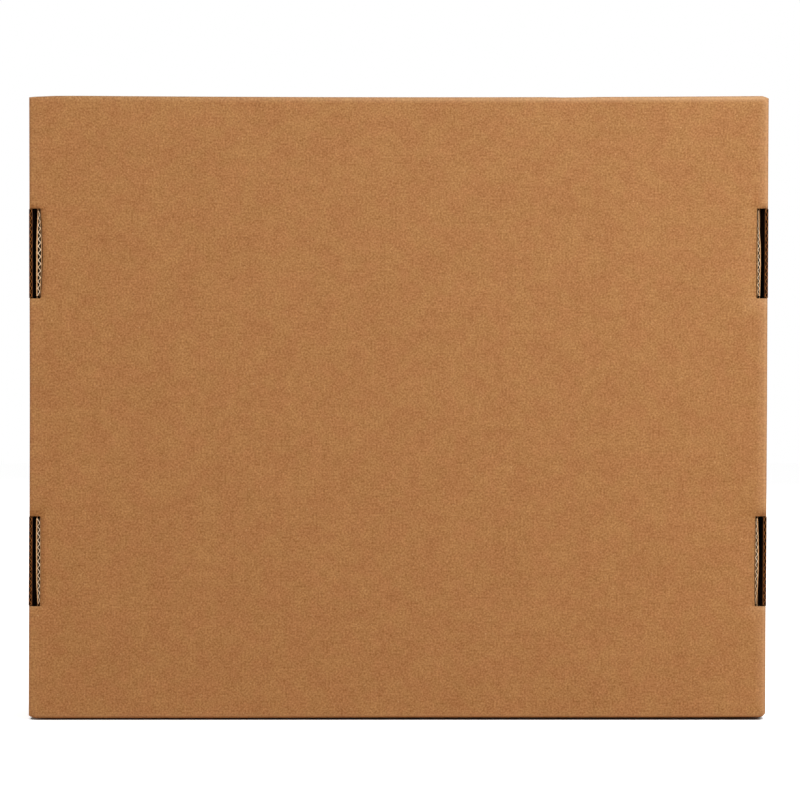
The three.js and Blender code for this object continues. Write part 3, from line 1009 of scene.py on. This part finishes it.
# %% A node tree for strips of medium
def medium_tree():
    """Lines on the flat sheet become strips of waved paper. The waves follow the sheet's v."""
    tree = bpy.data.node_groups.new("fluted_strip", "GeometryNodeTree")
    for name, way, kind in (
        ("Lines", "INPUT", "Geometry"),
        ("Strip Depth", "INPUT", "Float"),
        ("Paper Thickness", "INPUT", "Float"),
        ("Step", "INPUT", "Float"),
        ("Flute Pitch", "INPUT", "Float"),
        ("Flute Height", "INPUT", "Float"),
        ("Cuts Across", "INPUT", "Int"),
        ("Paper", "INPUT", "Material"),
        ("Medium", "OUTPUT", "Geometry"),
    ):
        tree.interface.new_socket(name, in_out=way, socket_type="NodeSocket" + kind)
    given = tree.nodes.new("NodeGroupInput").outputs
    made = tree.nodes.new("NodeGroupOutput").inputs
    curve, level, steps, profile, finer, sweep, place, move, real, paint = (
        tree.nodes.new("GeometryNode" + kind) for kind in (
            "MeshToCurve", "SetCurveNormal", "ResampleCurve", "CurvePrimitiveQuadrilateral",
            "SubdivideCurve", "CurveToMesh", "InputPosition", "SetPosition", "RealizeInstances",
            "SetMaterial",
        )
    )
    level.mode = "Z_UP"
    steps.mode = "LENGTH"
    sweep.inputs["Fill Caps"].default_value = True
    parts = tree.nodes.new("ShaderNodeSeparateXYZ")
    turns = math_node(tree, "DIVIDE", parts.outputs["Y"], given["Flute Pitch"])
    wave = math_node(tree, "COSINE", math_node(tree, "MULTIPLY", turns, 2 * math.pi))
    height = math_node(tree, "MULTIPLY", wave, given["Flute Height"])
    offset = tree.nodes.new("ShaderNodeCombineXYZ")
    for start, end in (
        (given["Lines"], curve.inputs[0]),
        (curve.outputs[0], level.inputs["Curve"]),
        (level.outputs[0], steps.inputs["Curve"]),
        (given["Step"], steps.inputs["Length"]),
        (given["Strip Depth"], profile.inputs["Width"]),
        (given["Paper Thickness"], profile.inputs["Height"]),
        (profile.outputs[0], finer.inputs["Curve"]),
        (given["Cuts Across"], finer.inputs["Cuts"]),
        (steps.outputs[0], sweep.inputs["Curve"]),
        (finer.outputs[0], sweep.inputs["Profile Curve"]),
        (place.outputs[0], parts.inputs[0]),
        (height, offset.inputs["Z"]),
        (sweep.outputs[0], move.inputs["Geometry"]),
        (offset.outputs[0], move.inputs["Offset"]),
        (move.outputs[0], real.inputs[0]),
        (real.outputs[0], paint.inputs["Geometry"]),
        (given["Paper"], paint.inputs["Material"]),
        (paint.outputs[0], made["Medium"]),
    ):
        tree.links.new(start, end)
    return tree


def run_nodes(name, verts, edges, tree, values):
    """The plain mesh that a node tree makes from a mesh of points and edges."""
    mesh = bpy.data.meshes.new(name + "_lines")
    mesh.from_pydata(verts, edges, [])
    obj = add_object(name + "_lines", mesh)
    modifier = obj.modifiers.new("nodes", "NODES")
    modifier.node_group = tree
    for item in tree.interface.items_tree:
        if item.in_out == "INPUT" and item.name in values:
            modifier[item.identifier] = values[item.name]
    bpy.context.view_layer.update()
    evaluated = obj.evaluated_get(bpy.context.evaluated_depsgraph_get())
    result = bpy.data.meshes.new_from_object(evaluated)
    bpy.data.objects.remove(obj)
    return result


def points_of(mesh):
    """A mesh's points as an array."""
    co = np.zeros(len(mesh.vertices) * 3)
    mesh.vertices.foreach_get("co", co)
    return co.reshape(-1, 3)


def face_outwards(mesh):
    """Turns a closed mesh's faces over if they enclose a negative volume."""
    mesh.calc_loop_triangles()
    corners = np.zeros(len(mesh.loop_triangles) * 3, int)
    mesh.loop_triangles.foreach_get("vertices", corners)
    a, b, c = points_of(mesh)[corners].reshape(-1, 3, 3).transpose(1, 0, 2)
    volume = float(np.einsum("ij,ij->", a, np.cross(b, c))) / 6
    if volume < 0:
        mesh.flip_normals()


# %% Strips behind the cut edges
STRIP_DEPTH = 3.2 * MM
RECESS = 0.02 * MM  # the medium stands a little behind the liners
medium = medium_tree()


def medium_shade(flat):
    """Painted shade of the tray's medium: brown at the outer walls' standing edges and behind the slots'
    sides, darkening into the flutes behind the tabs' ends, and dark in the ears.
    """
    u, v = np.abs(flat[:, 0]), np.abs(flat[:, 1])
    outer = (u > WALL_EDGE - 1 * MM) & (u < side[1] + 6 * MM) & (v < WALL_END - 5 * MM)
    shade = np.where(outer, 0.42 + 0.58 * np.clip((u - WALL_EDGE) / (1.2 * MM), 0, 1), 0)
    shade = np.where(u > INNER_FOOT - 5 * MM, np.clip((TAB_END - u) / (1.4 * MM), 0, 1), shade)
    shade = np.where(u < side[0], 0.5, shade)
    return np.where(v > EAR_FROM, EAR_SHADE, shade)


def medium_piece(name, across, along, fold, shade=no_shade, thickness=0.32 * MM):
    """Medium behind edges across the flutes and edges along them, folded."""
    for part, lines, step, cuts in (("across", across, FLUTE_PITCH / 10, 2), ("along", along, GRID, 8)):
        if not lines:
            continue
        verts = [(u, v, 0) for line in lines for u, v in line]
        edges = [(2 * i, 2 * i + 1) for i in range(len(lines))]
        mesh = run_nodes(f"{name}_{part}", verts, edges, medium, {
            "Strip Depth": STRIP_DEPTH, "Paper Thickness": thickness, "Step": step,
            "Flute Pitch": FLUTE_PITCH, "Flute Height": HALF - LINER + 0.01 * MM - thickness / 2,
            "Cuts Across": cuts, "Paper": fluted_paper,
        })
        flat = points_of(mesh)
        folded = fold(flat[:, 0].copy(), flat[:, 1].copy(), flat[:, 2].copy())
        mesh.vertices.foreach_set("co", folded.ravel())
        mesh.update()
        face_outwards(mesh)
        attribute = mesh.attributes.new("shade", "FLOAT", "POINT")
        attribute.data.foreach_set("value", shade(flat))
        part_obj = add_object(f"{name}_{part}", mesh)
        print(f"{part_obj.name}: {len(mesh.polygons)} faces")
        yield part_obj


def both_ways(lines):
    """Lines drawn for the front right quarter of a sheet, for all four quarters."""
    return [
        [(su * u, sv * v) for u, v in line] for line in lines for su in (-1, 1) for sv in (-1, 1)
    ]


def left_and_right(lines):
    """Lines drawn for the right half of a sheet, for both halves."""
    return [[(su * u, v) for u, v in line] for line in lines for su in (-1, 1)]


BACK_FROM = STRIP_DEPTH / 2 + RECESS
tab_low, tab_high = TAB_MIDDLE - TAB_HALF, TAB_MIDDLE + TAB_HALF
slot_low, slot_high = TAB_MIDDLE - SLOT_HALF, TAB_MIDDLE + SLOT_HALF
slot_back = SLOT_SIDE - 1.0 * MM - BACK_FROM
ear_foot = EAR_FROM + EAR_RISE
ear_slope = 8 * MM / (EAR_TOP - ear_foot)
ear_tip = [
    (EAR_TIP - BACK_FROM - ear_slope * 6 * MM, ear_foot + 6 * MM),
    (EAR_TIP - BACK_FROM - ear_slope * (EAR_TOP - ear_foot - 6 * MM), EAR_TOP - 6 * MM),
]
foot_line = INNER_FOOT - BACK_FROM


def along_v(u, low, high):
    """A line up the sheet, across the flutes."""
    return [(u, low), (u, high)]


def along_u(v, low, high):
    """A line across the sheet, along the flutes."""
    return [(low, v), (high, v)]


tray_across = both_ways([
    along_v(slot_back, slot_low - 1 * MM, slot_high + 1 * MM),
    along_v(TAB_END - BACK_FROM, tab_low + 0.5 * MM, tab_high - 0.5 * MM),
    along_v(foot_line, tab_high + 0.1 * MM, INNER_END - 0.2 * MM),
    ear_tip,
]) + left_and_right([along_v(foot_line, -tab_low, tab_low)])
standing_edges = both_ways([
    along_v(WALL_EDGE + BACK_FROM, slot_low + SLOT_NICK, slot_high - SLOT_NICK),
])
tray_along = both_ways([
    along_u(WALL_END - BACK_FROM, side[1], side[2]),
    along_u(INNER_END - BACK_FROM, side[5], INNER_FOOT - STRIP_DEPTH),
    [(ear[1] + 1 * MM, EAR_FROM + BACK_FROM), (EAR_TIP - 6 * MM, ear_foot + BACK_FROM)],
]) + left_and_right([
    along_u(EAR_TOP - BACK_FROM, ear[1], EAR_TIP - 14 * MM),
    along_u(-EAR_TOP + BACK_FROM, ear[1], EAR_TIP - 14 * MM),
]) + [
    along_u(FRONT_TOP - BACK_FROM, -ear[0], ear[0]),
    along_u(-BACK_TOP + BACK_FROM, -ear[0], ear[0]),
]
lid_across = left_and_right([
    along_v(DUST_FOOT - BACK_FROM, DUST_FRONT + 25 * MM, DUST_BACK - 25 * MM),
])
lid_along = [along_u(LID_FRONT_V + BACK_FROM, -DUST_X + 2 * MM, DUST_X - 2 * MM)]
tuck_across = left_and_right([along_v(TUCK_HALF - BACK_FROM, -5 * MM, 0)])
tuck_along = [along_u(TUCK_FOOT + BACK_FROM, -150 * MM, 150 * MM)]
tray_medium = list(medium_piece("tray_medium", tray_across, tray_along, fold_tray, medium_shade))
tray_medium += medium_piece("tray_wall_medium", standing_edges, [], fold_tray, medium_shade, 0.24 * MM)
lid_medium = list(medium_piece("lid_medium", lid_across, lid_along, fold_lid))
tuck_medium = list(medium_piece("tuck_medium", tuck_across, tuck_along, fold_tuck))

# %% Everything rides on its body
for obj in (tray_outside, tray_inside, *tray_medium):
    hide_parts("tray")
    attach(obj, "tray")
for obj in (lid_outside, lid_inside, *lid_medium):
    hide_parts("lid")
    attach(obj, "lid")
for obj in (tuck_outside, tuck_inside, *tuck_medium):
    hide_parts("tuck_flap")
    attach(obj, "tuck_flap")

# %% [markdown]
# Floor and light
#
# The photograph has a white background with almost no shadow. The floor and the surroundings are
# white to the camera alone, so they throw no extra light on the board. The floor's contact shadow
# under the box is partly painted.

# %% Floor
def white_to_camera(name, colour):
    """A pale floor that the camera sees as white, apart from the shadow where something stands.

    The shadow is real in the floor's lit part and painted in its glow: the glow that the camera sees dims
    where ambient occlusion finds something close by.
    """
    material, tree, shader = new_material(name)
    shader.inputs["Roughness"].default_value = 0.9
    shader.inputs["Specular IOR Level"].default_value = 0.1
    # Painted contact shadow: ambient occlusion near the box dims the floor's glow.
    near = add_node(tree, "ShaderNodeAmbientOcclusion", Distance=0.0035)
    near.samples = 12
    contact = map_range(tree, near.outputs["AO"], 0.4, 0.62, 0, 0.8)
    contact.node.interpolation_type = "SMOOTHSTEP"
    camera_ray = tree.nodes.new("ShaderNodeLightPath").outputs["Is Camera Ray"]
    paint = mix_colour(tree, "MIX", camera_ray, colour, (0.5, 0.5, 0.5, 1))
    tree.links.new(paint, shader.inputs["Base Color"])
    seen = math_node(tree, "MULTIPLY", contact, camera_ray)
    glow = add_node(tree, "ShaderNodeEmission", Color=(1, 1, 1, 1))
    tree.links.new(seen, glow.inputs["Strength"])
    both = tree.nodes.new("ShaderNodeAddShader")
    tree.links.new(shader.outputs[0], both.inputs[0])
    tree.links.new(glow.outputs[0], both.inputs[1])
    tree.links.new(both.outputs[0], tree.nodes["Material Output"].inputs["Surface"])
    return material


floor_mesh = bpy.data.meshes.new("floor")
floor_mesh.from_pydata([(-3, -3, 0), (3, -3, 0), (3, 3, 0), (-3, 3, 0)], [], [(0, 1, 2, 3)])
floor_mesh.materials.append(white_to_camera("pale_floor", (0.62, 0.44, 0.32, 1)))
floor = add_object("floor", floor_mesh)
floor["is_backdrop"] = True

# %% Lamps
def soft_light(name, place, target, size, power):
    """A square soft box that faces its target."""
    lamp = bpy.data.lights.new(name, "AREA")
    lamp.shape = "SQUARE"
    lamp.size = size
    lamp.energy = power
    obj = add_object(name, lamp)
    obj.location = place
    obj.rotation_euler = (Vector(target) - Vector(place)).to_track_quat("-Z", "Y").to_euler()
    return obj


soft_light("key_light", (0.75, -0.8, 1.0), (0.02, 0, 0.18), 0.75, 16)
fill = soft_light("fill_light", (-1.5, -0.7, 0.45), (0, 0, 0.15), 1.0, 9)
fill.data.color = (1, 0.84, 0.7)
soft_light("back_light", (0.3, 1.6, 1.2), (0, 0, 0.15), 1.2, 22)

world = bpy.data.worlds.new("studio")
bpy.context.scene.world = world
world.use_nodes = True
world_tree = world.node_tree
surroundings = world_tree.nodes["Background"]
surroundings.inputs["Color"].default_value = (1, 1, 1, 1)
surroundings.inputs["Strength"].default_value = 0.34
seen = add_node(world_tree, "ShaderNodeBackground", Color=(1, 1, 1, 1), Strength=1.0)
rays = world_tree.nodes.new("ShaderNodeLightPath")
choose = world_tree.nodes.new("ShaderNodeMixShader")
for i, socket in enumerate((rays.outputs["Is Camera Ray"], surroundings.outputs[0], seen.outputs[0])):
    world_tree.links.new(socket, choose.inputs[i])
world_tree.links.new(choose.outputs[0], world_tree.nodes["World Output"].inputs["Surface"])

bpy.context.scene.view_settings.view_transform = "Standard"

# %% The visual model's box, beside the CAD box
visual_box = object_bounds()


def as_lists(box):
    """A box's two corners as plain numbers."""
    return [[float(c) for c in corner] for corner in box]


{"cad": as_lists(cad_box), "visual": as_lists(visual_box)}
for name, corners in (("CAD", cad_box), ("visual", visual_box)):
    print(name, [[round(c / MM, 2) for c in corner] for corner in as_lists(corners)])
